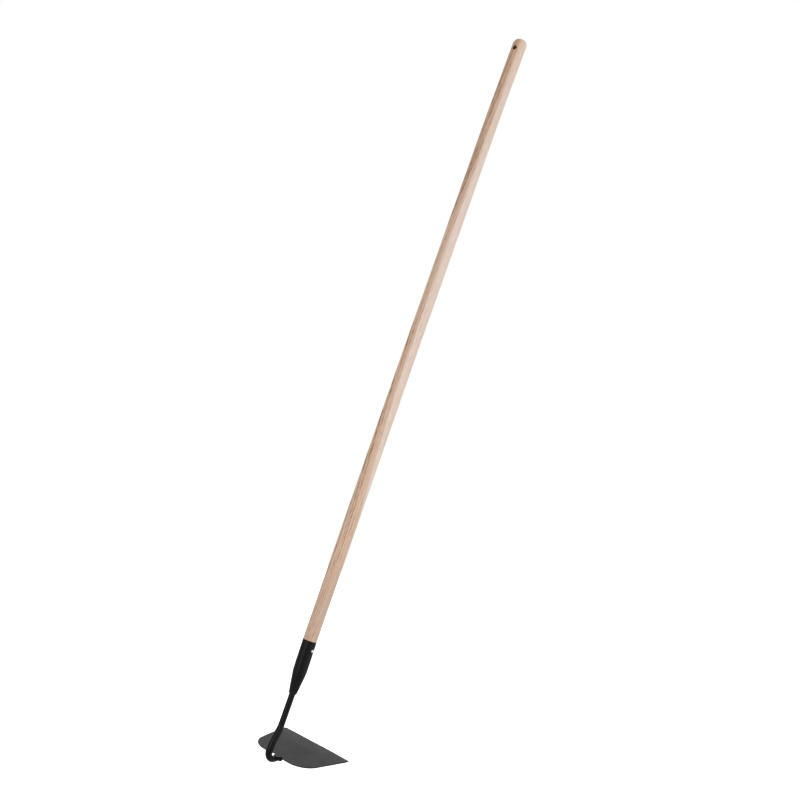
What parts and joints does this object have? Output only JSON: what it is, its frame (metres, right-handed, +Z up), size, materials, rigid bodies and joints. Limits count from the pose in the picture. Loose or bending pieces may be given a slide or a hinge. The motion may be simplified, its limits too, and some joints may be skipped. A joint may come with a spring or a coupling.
{
  "type": "garden hoe",
  "caption": "Long-handled garden hoe: a round ash pole in a drawn steel socket, a bent round bar under it, and a flat D-shaped blade welded to the bar's foot.",
  "frame": {"origin": "centre of the hanging hole, on the handle's axis", "axes": "+Z up the handle, +X from the handle toward the blade's cutting edge and along the hanging hole, +Y along the cutting edge"},
  "size_m": [0.1459, 0.1762, 1.5038],
  "materials": {
    "ash_wood": "turned, sanded and lightly sealed",
    "black_paint": "satin black paint over steel",
    "bright_steel": "bright, uncoated"
  },
  "bodies": {
    "root": {"handle": "ash_wood", "socket": "black_paint", "neck": "black_paint", "blade": "black_paint", "fixing_screw": "bright_steel", "socket_weld": "black_paint", "blade_weld_left": "black_paint", "blade_weld_right": "black_paint"}
  },
  "joints": []
}
